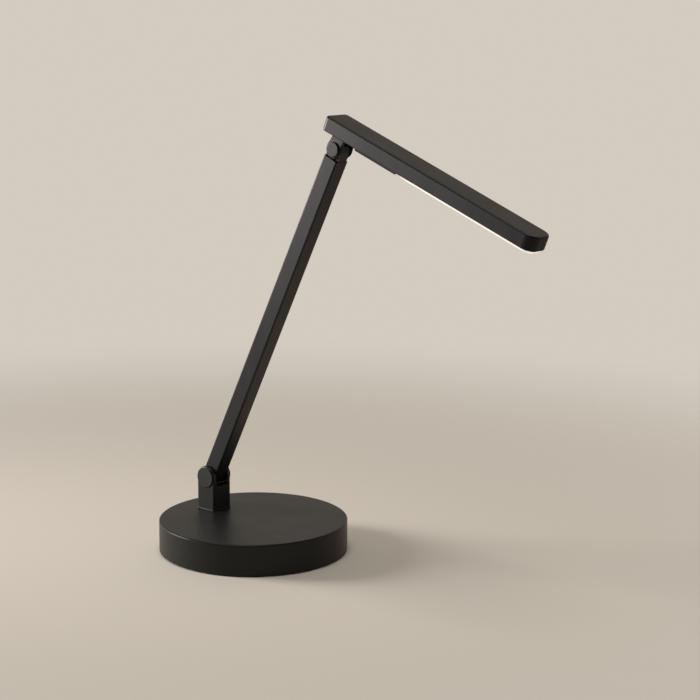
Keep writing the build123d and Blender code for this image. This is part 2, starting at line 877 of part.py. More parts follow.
def diffuser():
    lens = diffuser_shape(diffuser_play, under_face, board_face)
    lens = fillet(lens.edges().group_by(Axis.Z)[0], diffuser_round)
    inset = diffuser_play + diffuser_wall
    return lens - diffuser_shape(inset, under_face + diffuser_floor, board_face + overcut)


def cover_solid(inset, z0, z1):
    front = diffuser_start - inset
    beyond = block(front, head_front, -head_width, head_width, 0, head_top)
    return head_pocket(z0, z1, inset) - beyond


def switch_cover():
    """A shallow tray with a column for each screw."""
    tray = cover_solid(diffuser_play, under_face, cover_top)
    tray = fillet(tray.edges().group_by(Axis.Z)[0], cover_edge_round)
    tray -= cover_solid(diffuser_play + cover_wall, under_face + cover_floor, cover_top + overcut)
    for x in cover_screw_stations:
        for side in (-1, 1):
            tray += post_z(cover_boss_radius, x, side * cover_screw_side, under_face + cover_floor, cover_top)
    tray -= post_z(button_radius + button_play, switch_station, 0, under_face - overcut, cover_top)
    for place in cover_screw_places():
        tray -= place * cover_screw(thread_play)
    return tray


def cover_screw_places():
    return [Pos(x, side * cover_screw_side, 0) for x in cover_screw_stations for side in (-1, 1)]


def cover_screw(play):
    head = cover_screw_head_radius + play
    shank = cover_screw_radius + play
    low = under_face
    tip = low + cover_screw_length
    return turned_z([(0, low), (head, low), (shank, low + head - shank), (shank, tip), (0, tip)])


def cover_screws():
    return Part(children=[place * cover_screw(0) for place in cover_screw_places()])


def switch_board():
    half_x = switch_board_length / 2
    half_y = switch_board_width / 2
    board = block(switch_station - half_x, switch_station + half_x, -half_y, half_y,
                  board_face, pocket_top)
    return fillet(board.edges().filter_by(Axis.Z), switch_corner)


def push_switch():
    half = switch_body_size / 2
    body = block(switch_station - half, switch_station + half, -half, half, switch_face, board_face)
    body = fillet(body.edges().filter_by(Axis.Z), switch_corner)
    well_top = plunger_top() + button_travel + plunger_over_travel
    return body - post_z(plunger_radius + pin_play, switch_station, 0, switch_face - overcut, well_top)


def button_back():
    return under_face + cover_floor + flange_gap + button_flange_thickness


def plunger_top():
    return switch_face + plunger_reach


def switch_button():
    low = under_face - button_drop
    stem = post_z(button_radius, switch_station, 0, low, button_back())
    stem = fillet(stem.edges().group_by(Axis.Z)[0], button_round)
    flange_low = button_back() - button_flange_thickness
    stem += post_z(button_radius + button_flange, switch_station, 0, flange_low, button_back())
    socket_low = button_back() - plunger_socket
    return stem - post_z(plunger_radius + thread_play, switch_station, 0, socket_low, button_back() + overcut)


def switch_plunger():
    return post_z(plunger_radius, switch_station, 0, button_back() - plunger_socket, plunger_top())


def led_lead():
    start = switch_station + switch_body_size / 2 + switch_wire_gap
    length = led_board_start + led_lead_overlap - start
    level = board_face - battery_wire_radius
    tubes = []
    for side in (-1, 1):
        place = Pos(start + length / 2, side * led_lead_spread / 2, level)
        tubes.append(place * Rot(0, 90, 0) * Cylinder(battery_wire_radius, length))
    return Part(children=tubes)


nodes = {
    "base_shell": base_shell(),
    "base_plate": base_plate(),
    "base_plate_screws": base_plate_screws(),
    "foot_pad": foot_pad(),
    "counterweight": counterweight(),
    "battery_cell": battery_cell(),
    "battery_cradle": battery_cradle(),
    "battery_contacts": battery_contacts(),
    "battery_leads": battery_leads(),
    "control_board": control_board(),
    "board_components": board_components(),
    "board_screws": board_screws(),
    "inlet_shell": inlet_shell(),
    "inlet_insulator": inlet_insulator(),
    "post_foot": post_foot(),
    "hinge_post": hinge_post(),
    "backing_plate": backing_plate(),
    "post_screws": post_screws(),
    "base_lead": base_lead(),
    "lower_hinge_screw": lower_place(
        hinge_screw(post_width / 2, lower_pocket_depth, lower_head_radius, post_width / 2 - cap_recess_play)),
    "lower_disc_spring": lower_place(disc_spring(post_width / 2, lower_pocket_depth, lower_head_radius)),
    "lower_friction_washers": lower_place(friction_washers(lower_slot, lower_washer_radius)),
    "lower_left_cap": lower_place(lower_cap()),
    "lower_right_cap": lower_place(mirror(lower_cap(), Plane.XZ)),
}

arm_nodes = {
    "arm_tube": arm_tube(),
    "lower_knuckle": lower_knuckle(),
    "upper_knuckle": upper_knuckle(),
    "knuckle_screws": knuckle_screws(),
    "arm_lead": arm_lead(),
}

head_nodes = {
    "head_housing": head_housing(),
    "head_bracket": head_bracket(),
    "bracket_screws": bracket_screws(),
    "upper_hinge_screw": hinge_screw(
        upper_face, upper_pocket_depth, upper_head_radius, upper_face - cap_recess_play),
    "upper_disc_spring": disc_spring(upper_face, upper_pocket_depth, upper_head_radius),
    "upper_friction_washers": friction_washers(upper_slot, upper_washer_radius),
    "upper_left_cap": upper_cap(),
    "upper_right_cap": mirror(upper_cap(), Plane.XZ),
    "led_board": led_board(),
    "thermal_tape": thermal_tape(),
    "led_chips": led_chips(),
    "diffuser": diffuser(),
    "switch_cover": switch_cover(),
    "cover_screws": cover_screws(),
    "switch_board": switch_board(),
    "push_switch": push_switch(),
    "switch_button": switch_button(),
    "switch_plunger": switch_plunger(),
    "head_lead": head_lead(),
    "led_lead": led_lead(),
}

for name, shape in arm_nodes.items():
    nodes[name] = arm_frame * shape
for name, shape in head_nodes.items():
    nodes[name] = head_frame * shape

os.makedirs("parts", exist_ok=True)
for name, shape in nodes.items():
    export_step(shape, os.path.join("parts", name + ".step"))
print("upper pivot", tuple(round(v, 4) for v in upper_pivot.position))
print("nodes", len(nodes))
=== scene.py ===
import json
import math

import bmesh
import bpy
from mathutils import Matrix, Vector


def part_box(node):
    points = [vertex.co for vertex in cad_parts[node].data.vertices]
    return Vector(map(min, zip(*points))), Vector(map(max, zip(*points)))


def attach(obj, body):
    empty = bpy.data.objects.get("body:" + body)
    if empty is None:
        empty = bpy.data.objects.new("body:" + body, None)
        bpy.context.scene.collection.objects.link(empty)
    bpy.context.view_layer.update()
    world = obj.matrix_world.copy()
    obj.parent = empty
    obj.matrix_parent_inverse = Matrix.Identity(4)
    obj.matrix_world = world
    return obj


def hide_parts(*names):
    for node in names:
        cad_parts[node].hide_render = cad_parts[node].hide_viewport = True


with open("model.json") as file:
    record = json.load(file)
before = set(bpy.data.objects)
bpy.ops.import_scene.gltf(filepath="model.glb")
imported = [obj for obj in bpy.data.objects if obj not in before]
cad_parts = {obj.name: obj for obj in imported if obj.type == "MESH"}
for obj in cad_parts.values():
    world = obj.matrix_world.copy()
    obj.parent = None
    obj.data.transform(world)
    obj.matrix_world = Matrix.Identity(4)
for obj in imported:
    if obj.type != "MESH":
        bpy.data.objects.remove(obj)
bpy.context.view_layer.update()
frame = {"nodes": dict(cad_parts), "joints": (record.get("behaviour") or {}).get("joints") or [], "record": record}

# A black desk lamp: round base, forked post, square arm, and a slim light bar that is lit.
# Metres. +X is the way the arm leans, +Y is left, +Z is up, and the lamp stands on z = 0.

nodes = frame["nodes"]
joints = {j["name"]: j for j in frame["joints"]}
lowerPivot = Vector(joints["arm_tilt"]["pos_m"])
upperPivot = Vector(joints["head_tilt"]["pos_m"])
armUp = (upperPivot - lowerPivot).normalized()
barUp = Vector(joints["switch_press"]["axis"]).normalized()
barForward = Vector((barUp.z, 0, -barUp.x))
print("stage: frame loaded,", len(nodes), "nodes")


def leaningSpace(origin, up):
    # local Z runs along up, and local Y stays the lamp's Y
    side = Vector((0, 1, 0))
    forward = side.cross(up)
    space = Matrix((forward, side, up)).transposed().to_4x4()
    space.translation = origin
    return space


armSpace = leaningSpace(lowerPivot, armUp)
barSpace = leaningSpace(upperPivot, barUp)
uprightSpace = Matrix.Identity(4)


def boxIn(space, node):
    # a CAD node's lowest and highest corners, seen in a leaning space
    back = space.inverted()
    points = [back @ v.co for v in nodes[node].data.vertices]
    low = Vector([min(p[axis] for p in points) for axis in range(3)])
    high = Vector([max(p[axis] for p in points) for axis in range(3)])
    return low, high


# Finishes

def addNode(tree, kind, x, y, **values):
    node = tree.nodes.new(kind)
    node.location = (x, y)
    for name, value in values.items():
        if name in node.inputs:
            node.inputs[name].default_value = value
        else:
            setattr(node, name, value)
    return node


def newFinish(name, base, roughness, metallic=0.0, specular=0.5):
    finish = bpy.data.materials.new(name)
    finish.use_nodes = True
    finish.diffuse_color = (*base, 1)
    tree = finish.node_tree
    shader = tree.nodes["Principled BSDF"]
    shader.inputs["Base Color"].default_value = (*base, 1)
    shader.inputs["Roughness"].default_value = roughness
    shader.inputs["Metallic"].default_value = metallic
    shader.inputs["Specular IOR Level"].default_value = specular
    return finish, tree, shader


def objectCoordinates(tree, stretch=(1, 1, 1), turn=(0, 0, 0)):
    place = addNode(tree, "ShaderNodeTexCoord", -1200, 0)
    mapping = addNode(tree, "ShaderNodeMapping", -1000, 0)
    mapping.inputs["Scale"].default_value = stretch
    mapping.inputs["Rotation"].default_value = turn
    tree.links.new(place.outputs["Object"], mapping.inputs["Vector"])
    return mapping.outputs["Vector"]


def mapRange(tree, x, y, source, fromLow, fromHigh, toLow, toHigh, kind="LINEAR"):
    ramp = addNode(tree, "ShaderNodeMapRange", x, y, interpolation_type=kind)
    ramp.inputs["From Min"].default_value = fromLow
    ramp.inputs["From Max"].default_value = fromHigh
    ramp.inputs["To Min"].default_value = toLow
    ramp.inputs["To Max"].default_value = toHigh
    tree.links.new(source, ramp.inputs["Value"])
    return ramp.outputs["Result"]


def mixColours(tree, x, y, factor, first, second):
    mix = addNode(tree, "ShaderNodeMix", x, y, data_type="RGBA")
    mix.inputs["A"].default_value = (*first, 1)
    mix.inputs["B"].default_value = (*second, 1)
    tree.links.new(factor, mix.inputs["Factor"])
    return mix.outputs["Result"]


def combine(tree, x, y, operation, first, second):
    both = addNode(tree, "ShaderNodeMath", x, y, operation=operation)
    tree.links.new(first, both.inputs[0])
    tree.links.new(second, both.inputs[1])
    return both.outputs["Value"]


noise = {"range": (0.3, 0.7),        # nearly all of the texture's values lie in it
         "tone": {"Detail": 4, "Roughness": 0.55}, "gloss": {"Detail": 3},
         "speck": {"Detail": 2, "Roughness": 0.6}}


def mottle(tree, shader, vector, look):
    # slow drift of the colour between two tones
    cloud = addNode(tree, "ShaderNodeTexNoise", -800, 300, Scale=1 / look["cloud"], **noise["tone"])
    tree.links.new(vector, cloud.inputs["Vector"])
    drift = mapRange(tree, -600, 300, cloud.outputs["Fac"], *noise["range"], 0, look["amount"])
    colour = mixColours(tree, -400, 300, drift, look["base"], look["lighter"])
    tree.links.new(colour, shader.inputs["Base Color"])


def uneven(tree, shader, vector, look):
    # roughness that wanders between its two values
    cloud = addNode(tree, "ShaderNodeTexNoise", -800, 0, Scale=1 / look["glossCloud"], **noise["gloss"])
    tree.links.new(vector, cloud.inputs["Vector"])
    wander = mapRange(tree, -600, 0, cloud.outputs["Fac"], *noise["range"], *look["roughness"])
    tree.links.new(wander, shader.inputs["Roughness"])


def grain(tree, shader, vector, look):
    # fine bump, its size and depth in metres
    speck = addNode(tree, "ShaderNodeTexNoise", -800, -300, Scale=1 / look["grain"], **noise["speck"])
    bump = addNode(tree, "ShaderNodeBump", -400, -300, Strength=1, Distance=look["depth"])
    tree.links.new(vector, speck.inputs["Vector"])
    tree.links.new(speck.outputs["Fac"], bump.inputs["Height"])
    tree.links.new(bump.outputs["Normal"], shader.inputs["Normal"])


def patterned(name, look, metallic=0.0, stretch=(1, 1, 1), turn=(0, 0, 0)):
    # a look gives two tones, the roughness between two values, and the sizes of the patterns
    finish, tree, shader = newFinish(name, look["base"], look["roughness"][0], metallic, look["specular"])
    where = objectCoordinates(tree, stretch, turn)
    mottle(tree, shader, where, look)
    uneven(tree, shader, where, look)
    grain(tree, shader, where, look)
    return finish


powder = {"base": (0.0095, 0.0088, 0.0082), "lighter": (0.0125, 0.0115, 0.0107), "amount": 0.5,
          "roughness": (0.41, 0.45), "specular": 0.28, "cloud": 0.04, "glossCloud": 0.024,
          "grain": 0.0007, "depth": 0.00001}
hingePaint = {"base": (0.0112, 0.0110, 0.0108), "lighter": (0.015, 0.0145, 0.014), "amount": 0.5,
              "roughness": (0.38, 0.45), "specular": 0.34, "cloud": 0.012, "glossCloud": 0.012,
              "grain": 0.0005, "depth": 0.000012}
anodising = {"base": (0.0120, 0.0118, 0.0116), "lighter": (0.016, 0.0157, 0.0153), "amount": 0.5,
             "roughness": (0.38, 0.44), "specular": 0.32, "cloud": 0.02, "glossCloud": 0.02,
             "grain": 0.00035, "depth": 0.000004, "stretch": 0.12}


def blackAnodised(name, along):
    # the extrusion's faint lines run along it
    lean = math.atan2(along.x, along.z)
    return patterned(name, anodising, stretch=(1, 1, anodising["stretch"]), turn=(0, -lean, 0))


# these make their lighter tone and their roughest patches from one colour and one roughness
moulding = {"brighter": 1.25, "lift": 0.002, "rougher": 0.08, "amount": 0.6, "specular": 0.4,
            "cloud": 0.008, "glossCloud": 0.005, "grain": 0.0004, "depth": 0.00001}
machining = {"brighter": 1.15, "lift": 0.0, "rougher": 0.14, "amount": 0.8, "specular": 0.5,
             "cloud": 0.004, "glossCloud": 0.0015, "grain": 0.0003, "depth": 0.000006}


def oneColour(name, base, roughness, kind, metallic=0.0, **changes):
    look = {**kind, **changes, "base": base}
    look["lighter"] = tuple(min(1, c * kind["brighter"] + kind["lift"]) for c in base)
    look["roughness"] = (roughness, roughness + kind["rougher"])
    return patterned(name, look, metallic)


def moulded(name, base, roughness, **changes):
    return oneColour(name, base, roughness, moulding, **changes)


def machined(name, base, roughness, metallic=1.0):
    return oneColour(name, base, roughness, machining, metallic)


# the darker base tone is painted shade for the end of the diffuser with no lights behind it
opal = {"base": (0.58, 0.54, 0.47), "paintedShade": (0.16, 0.14, 0.11), "dimGlow": (0.05, 0.042, 0.032),
        "glow": (1.0, 0.93, 0.82), "strength": 0.84, "roughness": 0.35, "ramp": (0.060, 0.080),
        "firstLed": 0.0754, "ledPitch": 0.00511, "ripple": 0.012, "edge": (0.0075, 0.0106),
        "edgeGlow": 0.72, "grain": 0.0006, "depth": 0.000008}


def opalLit():
    # brightest over each light under it, and fading towards its edges and where the lights stop; where they stop,
    # its base colour is also painted darker as painted shade
    finish, tree, shader = newFinish("opalLit", opal["base"], opal["roughness"])
    where = objectCoordinates(tree)
    grain(tree, shader, where, opal)
    along = addNode(tree, "ShaderNodeVectorMath", -800, -600, operation="DOT_PRODUCT")
    along.inputs[1].default_value = barForward
    tree.links.new(where, along.inputs[0])
    pivotAlong = upperPivot.dot(barForward)
    start, end = (pivotAlong + station for station in opal["ramp"])
    rise = mapRange(tree, -600, -600, along.outputs["Value"], start, end, 0, 1, "SMOOTHSTEP")
    # painted shade: the base colour turns darker towards the end where the lights stop
    tree.links.new(mixColours(tree, 200, 300, rise, opal["paintedShade"], opal["base"]), shader.inputs["Base Color"])
    turns = 2 * math.pi / opal["ledPitch"]
    phase = addNode(tree, "ShaderNodeMath", -600, -800, operation="MULTIPLY_ADD")
    phase.inputs[1].default_value = turns
    phase.inputs[2].default_value = -turns * (pivotAlong + opal["firstLed"])
    wave = addNode(tree, "ShaderNodeMath", -400, -800, operation="COSINE")
    tree.links.new(along.outputs["Value"], phase.inputs[0])
    tree.links.new(phase.outputs["Value"], wave.inputs[0])
    ripple = mapRange(tree, -200, -800, wave.outputs["Value"], -1, 1, 1 - opal["ripple"], 1)
    across = addNode(tree, "ShaderNodeSeparateXYZ", -1000, -1000)
    width = addNode(tree, "ShaderNodeMath", -800, -1000, operation="ABSOLUTE")
    tree.links.new(where, across.inputs[0])
    tree.links.new(across.outputs["Y"], width.inputs[0])
    edge = mapRange(tree, -600, -1000, width.outputs["Value"], *opal["edge"], 1, opal["edgeGlow"],
                    "SMOOTHSTEP")
    glow = combine(tree, 0, -600, "MULTIPLY", rise, ripple)
    glow = combine(tree, 0, -800, "MULTIPLY", glow, edge)
    shown = mixColours(tree, 200, -600, glow, opal["dimGlow"], opal["glow"])
    tree.links.new(shown, shader.inputs["Emission Color"])
    shader.inputs["Emission Strength"].default_value = opal["strength"]
    return finish


finishes = {
    "painted_base": patterned("powderCoat", powder),
    "painted_hinge": patterned("hingeCoat", hingePaint),
    "black_anodised_arm": blackAnodised("armAnodised", armUp),
    "black_anodised_bar": blackAnodised("barAnodised", barForward),
    "satin_cap": moulded("capSatin", (0.017, 0.0167, 0.0163), 0.36),
    "black_plastic": moulded("blackMoulding", (0.022, 0.022, 0.022), 0.5),
    "cover_plastic": moulded("coverMoulding", (0.010, 0.0098, 0.0095), 0.55, specular=0.2),
    "black_screw": machined("blackOxide", (0.03, 0.03, 0.032), 0.35, 0.6),
    "plated_steel": machined("zincPlate", (0.58, 0.59, 0.6), 0.28),
    "cast_iron": moulded("castIron", (0.07, 0.07, 0.072), 0.6, grain=0.0012, depth=0.00012),
    "foot_rubber": moulded("footRubber", (0.018, 0.018, 0.018), 0.85, grain=0.0006, depth=0.00005),
    "cell_wrap": moulded("cellWrap", (0.03, 0.16, 0.13), 0.25),
    "wire_jacket": moulded("wireJacket", (0.02, 0.02, 0.02), 0.55),
    "circuit_board": moulded("boardResist", (0.75, 0.76, 0.74), 0.4),
    "washer_plastic": moulded("nylon", (0.72, 0.7, 0.64), 0.45),
    "tape_grey": moulded("thermalTape", (0.4, 0.4, 0.41), 0.8),
    "led_package": moulded("ledBody", (0.82, 0.82, 0.8), 0.45),
    "phosphor": moulded("phosphor", (0.9, 0.72, 0.2), 0.4),
    "gold": machined("goldPlate", (0.83, 0.62, 0.24), 0.22),
    "diffuser_opal": opalLit(),
}
print("stage: finishes made,", len(finishes))


def finishFor(node, slot):
    if slot == "black_anodised":
        return finishes["black_anodised_arm" if node == "arm_tube" else "black_anodised_bar"]
    return finishes[slot]


def dressNodes():
    for part in frame["record"]["subparts"]:
        piece = nodes[part["node"]]
        piece.data.materials.clear()
        piece.data.materials.append(finishFor(part["node"], part["material_slot"]))


dressNodes()
print("stage: CAD nodes dressed")


# Pieces

meshRules = {"merge": 0.000001, "sharp": math.radians(32)}


def newPiece(name, shape, body, finishNames, replaced=()):
    bmesh.ops.remove_doubles(shape, verts=shape.verts, dist=meshRules["merge"])
    bmesh.ops.recalc_face_normals(shape, faces=shape.faces)
    mesh = bpy.data.meshes.new(name)
    shape.to_mesh(mesh)
    shape.free()
    mesh.shade_smooth()
    mesh.set_sharp_from_angle(angle=meshRules["sharp"])
    for finishName in finishNames:
        mesh.materials.append(finishes[finishName])
    piece = bpy.data.objects.new(name, mesh)
    bpy.context.scene.collection.objects.link(piece)
    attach(piece, body)
    if replaced:
        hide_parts(*replaced)
    print("stage:", name, "made,", len(mesh.polygons), "faces")
    return piece


def turned(profile, steps):
    # spins (radius, height) points about local Z
    shape = bmesh.new()
    points = [shape.verts.new((radius, 0, height)) for radius, height in profile]
    edges = [shape.edges.new(pair) for pair in zip(points, points[1:])]
    bmesh.ops.spin(shape, geom=points + edges, cent=(0, 0, 0), axis=(0, 0, 1), angle=2 * math.pi,
                   steps=steps, use_merge=True)
    bmesh.ops.remove_doubles(shape, verts=shape.verts, dist=meshRules["merge"])
    return shape


def joinInto(shape, made, place):
    bmesh.ops.transform(made, matrix=place, verts=made.verts)
    mesh = bpy.data.meshes.new("joined")
    made.to_mesh(mesh)
    made.free()
    shape.from_mesh(mesh)
    bpy.data.meshes.remove(mesh)


# Countersunk screws with a hexagon socket

# socket and socketDepth are shares of the head's radius, socketLand of the socket's,
# crest, root and tipLength of the pitch, and tip of the core
screwShape = {"steps": 24, "corners": 6, "socket": 0.46, "socketLand": 1.14, "socketDepth": 0.5,
              "edge": 0.00012, "pitch": 0.0005, "threadDepth": 0.00014, "crest": 0.2, "root": 0.6,
              "tipLength": 0.4, "tip": 0.6}


def socketScrew(head, shank, length):
    # head face at z = 0, shank along +Z
    pitch = screwShape["pitch"]
    core = shank - screwShape["threadDepth"]
    face = head - screwShape["edge"]
    socket = head * screwShape["socket"]
    profile = [(socket * screwShape["socketLand"], 0), (face, 0), (face, screwShape["edge"]),
               (shank, head - shank)]
    turns = int((length - (head - shank) - pitch) / pitch)
    for i in range(turns):
        z = head - shank + pitch * i
        profile += [(shank, z + pitch * screwShape["crest"]), (core, z + pitch * screwShape["root"])]
    profile += [(core, length - pitch * screwShape["tipLength"]), (core * screwShape["tip"], length),
                (0, length)]
    shape = turned(profile, screwShape["steps"])
    bmesh.ops.create_circle(shape, segments=screwShape["corners"], radius=socket)
    sides = [edge for edge in shape.edges if edge.is_wire]
    bmesh.ops.subdivide_edges(shape, edges=sides, cuts=screwShape["steps"] // screwShape["corners"] - 1)
    rim = [edge for edge in shape.edges if edge.is_boundary]
    hexagon = [edge for edge in shape.edges if edge.is_wire]
    bmesh.ops.bridge_loops(shape, edges=rim + hexagon)
    wall = bmesh.ops.extrude_edge_only(shape, edges=[edge for edge in shape.edges if edge.is_boundary])
    bottom = [item for item in wall["geom"] if isinstance(item, bmesh.types.BMVert)]
    bmesh.ops.translate(shape, vec=(0, 0, head * screwShape["socketDepth"]), verts=bottom)
    bmesh.ops.holes_fill(shape, edges=[edge for edge in shape.edges if edge.is_boundary], sides=0)
    return shape


# head and shank are radii; axis is the one that the screws lie along, 1 for Y and 2 for Z
screwKinds = {
    "coverScrews": {"node": "cover_screws", "space": barSpace, "body": "head", "axis": 2,
                    "head": 0.0019, "shank": 0.0010, "slot": "black_screw"},
    "bracketScrews": {"node": "bracket_screws", "space": barSpace, "body": "head", "axis": 2,
                      "head": 0.0024, "shank": 0.00125, "slot": "black_screw"},
    "armScrews": {"node": "knuckle_screws", "space": armSpace, "body": "arm", "axis": 1,
                  "head": 0.00275, "shank": 0.0015, "slot": "black_screw"},
    "baseScrews": {"node": "base_plate_screws", "space": uprightSpace, "body": "base", "axis": 2,
                   "head": 0.0030, "shank": 0.0015, "slot": "plated_steel"},
}
placeDigits = 5        # places that agree to a hundredth of a millimetre are one


def screwPlaces(low, high, kind):
    # the screws' middles lie a head's radius inside the node's box, their faces at its left or below
    middles = []
    for axis in range(3):
        near, far = low[axis] + kind["head"], high[axis] - kind["head"]
        if axis == kind["axis"]:
            near = far = high[axis] if axis == 1 else low[axis]
        middles.append(sorted({round(near, placeDigits), round(far, placeDigits)}))
    return [(x, y, z) for x in middles[0] for y in middles[1] for z in middles[2]]


def makeScrews(name, kind):
    low, high = boxIn(kind["space"], kind["node"])
    axis = kind["axis"]
    length = high[axis] - low[axis]
    turn = Matrix.Rotation(math.radians(90), 4, "X") if axis == 1 else Matrix.Identity(4)
    shape = bmesh.new()
    for place in screwPlaces(low, high, kind):
        screw = socketScrew(kind["head"], kind["shank"], length)
        joinInto(shape, screw, kind["space"] @ Matrix.Translation(place) @ turn)
    newPiece(name, shape, kind["body"], [kind["slot"]], [kind["node"]])


for screwName, screwKind in screwKinds.items():
    makeScrews(screwName, screwKind)


# Hinge caps: a flat face inside a soft edge

capShape = {"neckInset": 0.0012, "neckHeight": 0.0005, "round": 0.00055, "roundSteps": 5, "rim": 0.00015,
            "steps": 96}
capKinds = {
    "lowerLeftCap": {"node": "lower_left_cap", "body": "base", "recess": 0.0050, "side": 1},
    "lowerRightCap": {"node": "lower_right_cap", "body": "base", "recess": 0.0050, "side": -1},
    "upperLeftCap": {"node": "upper_left_cap", "body": "head", "recess": 0.0041, "side": 1},
    "upperRightCap": {"node": "upper_right_cap", "body": "head", "recess": 0.0041, "side": -1},
}
capFloor = {"base": 0.0003, "head": 0.0007}       # depth of the hollow behind each cap


def makeCap(name, kind):
    low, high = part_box(kind["node"])
    radius = (high.x - low.x) / 2
    height = high.y - low.y
    edge = capShape["round"]
    floor = capFloor[kind["body"]]
    neck = radius - capShape["neckInset"]
    profile = [(0, floor), (kind["recess"], floor), (kind["recess"], 0), (neck, 0),
               (neck, capShape["neckHeight"]), (radius, capShape["neckHeight"])]
    for i in range(capShape["roundSteps"] + 1):
        angle = math.pi / 2 * i / capShape["roundSteps"]
        profile.append((radius - edge + edge * math.cos(angle), height - edge + edge * math.sin(angle)))
    profile += [(radius - edge - capShape["rim"], height), (0, height)]
    shape = turned(profile, capShape["steps"])
    face = low.y if kind["side"] > 0 else high.y
    place = Matrix.Translation(((low.x + high.x) / 2, face, (low.z + high.z) / 2))
    turn = Matrix.Rotation(math.radians(-90 * kind["side"]), 4, "X")
    bmesh.ops.transform(shape, matrix=place @ turn, verts=shape.verts)
    newPiece(name, shape, kind["body"], ["satin_cap"], [kind["node"]])


for capName, capKind in capKinds.items():
    makeCap(capName, capKind)


# The light bar's bracket with rounded ears, and the post's foot with a soft edge

copyRules = {"merge": 0.000002, "flat": math.radians(0.5)}


def copyOf(node, space):
    # a CAD node's mesh with its corners merged and its flat faces whole, in a leaning space
    shape = bmesh.new()
    shape.from_mesh(nodes[node].data)
    bmesh.ops.transform(shape, matrix=space.inverted(), verts=shape.verts)
    bmesh.ops.remove_doubles(shape, verts=shape.verts, dist=copyRules["merge"])
    bmesh.ops.dissolve_limit(shape, angle_limit=copyRules["flat"], verts=shape.verts, edges=shape.edges)
    return shape


def soften(shape, edges, width, steps):
    bmesh.ops.bevel(shape, geom=edges, offset=width, offset_type="OFFSET", affect="EDGES", segments=steps,
                    profile=0.5, material=-1, clamp_overlap=False)


# the rims lie on the ears' outer faces, below the bar and away from the pivot's hole
earShape = {"face": 0.0080, "below": 0.0085, "radius": 0.0070, "slack": 0.00001, "round": 0.0019,
            "roundSteps": 6}


def makeBracket():
    shape = copyOf("head_bracket", barSpace)
    slack = earShape["slack"]
    rims = []
    for edge in shape.edges:
        ends = [corner.co for corner in edge.verts]
        onFace = all(abs(abs(co.y) - earShape["face"]) < slack for co in ends)
        outside = all(math.hypot(co.x, co.z) > earShape["radius"] and co.z < earShape["below"] for co in ends)
        if onFace and outside and abs(ends[0].y - ends[1].y) < slack:
            rims.append(edge)
    print("stage: bracket rims,", len(rims), "edges")
    soften(shape, rims, earShape["round"], earShape["roundSteps"])
    bmesh.ops.transform(shape, matrix=barSpace, verts=shape.verts)
    newPiece("roundedBracket", shape, "head", ["painted_hinge"], ["head_bracket"])


# slope is the range of Z in a sloping face's normal
footShape = {"slope": (0.3, 0.95), "round": 0.00022, "roundSteps": 3}


def makeFoot():
    shape = copyOf("post_foot", uprightSpace)
    for face in shape.faces:
        face.normal_update()
    steepest, flattest = footShape["slope"]
    slopes = {face for face in shape.faces if steepest < face.normal.z < flattest}
    rims = [edge for edge in shape.edges if len(slopes.intersection(edge.link_faces)) == 1]
    print("stage: foot rims,", len(rims), "edges")
    soften(shape, rims, footShape["round"], footShape["roundSteps"])
    newPiece("softFoot", shape, "base", ["painted_hinge"], ["post_foot"])


makeBracket()
makeFoot()


# Push button with a dished face

buttonShape = {"dish": 0.00045, "rim": 0.0007, "round": 0.0005, "roundSteps": 5, "flange": 0.0011,
               "flangeHeight": 0.0007, "socket": 0.00162, "socketDepth": 0.0010, "dishSteps": 6, "steps": 72}


def makeButton():
    low, high = boxIn(barSpace, "switch_button")
    height = high.z - low.z
    stem = (high.x - low.x) / 2 - buttonShape["flange"]
    edge = buttonShape["round"]
    dishRadius = stem - edge - buttonShape["rim"]
    profile = []
    for i in range(buttonShape["dishSteps"] + 1):
        share = i / buttonShape["dishSteps"]
        profile.append((dishRadius * share, buttonShape["dish"] * (1 - share * share)))
    for i in range(buttonShape["roundSteps"] + 1):
        angle = math.pi / 2 * i / buttonShape["roundSteps"]
        profile.append((stem - edge + edge * math.sin(angle), edge - edge * math.cos(angle)))
    flangeLow = height - buttonShape["flangeHeight"]
    socketFloor = height - buttonShape["socketDepth"]
    wide = stem + buttonShape["flange"]
    profile += [(stem, flangeLow), (wide, flangeLow), (wide, height), (buttonShape["socket"], height),
                (buttonShape["socket"], socketFloor), (0, socketFloor)]
    shape = turned(profile, buttonShape["steps"])
    middle = ((low.x + high.x) / 2, (low.y + high.y) / 2, low.z)
    bmesh.ops.transform(shape, matrix=barSpace @ Matrix.Translation(middle), verts=shape.verts)
    newPiece("pushButton", shape, "button", ["cover_plastic"], ["switch_button"])


makeButton()


# Foot pad with ring grooves

padShape = {"grooves": (0.018, 0.031, 0.044, 0.057, 0.070), "width": 0.0024, "slope": 0.0003, "depth": 0.0006,
            "edge": 0.0003, "steps": 160}


def makeFootPad():
    low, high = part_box("foot_pad")
    radius = (high.x - low.x) / 2
    height = high.z - low.z
    half = padShape["width"] / 2
    inside = half - padShape["slope"]
    depth = padShape["depth"]
    profile = [(0, 0)]
    for groove in padShape["grooves"]:
        profile += [(groove - half, 0), (groove - inside, depth), (groove + inside, depth),
                    (groove + half, 0)]
    profile += [(radius - padShape["edge"], 0), (radius, padShape["edge"]), (radius, height), (0, height)]
    shape = turned(profile, padShape["steps"])
    newPiece("ringedFootPad", shape, "base", ["foot_rubber"], ["foot_pad"])


makeFootPad()


# LEDs: a pale package round a well of phosphor

ledShape = {"count": 24, "length": 0.0028, "lip": 0.00035, "slope": 0.00012, "well": 0.0002}


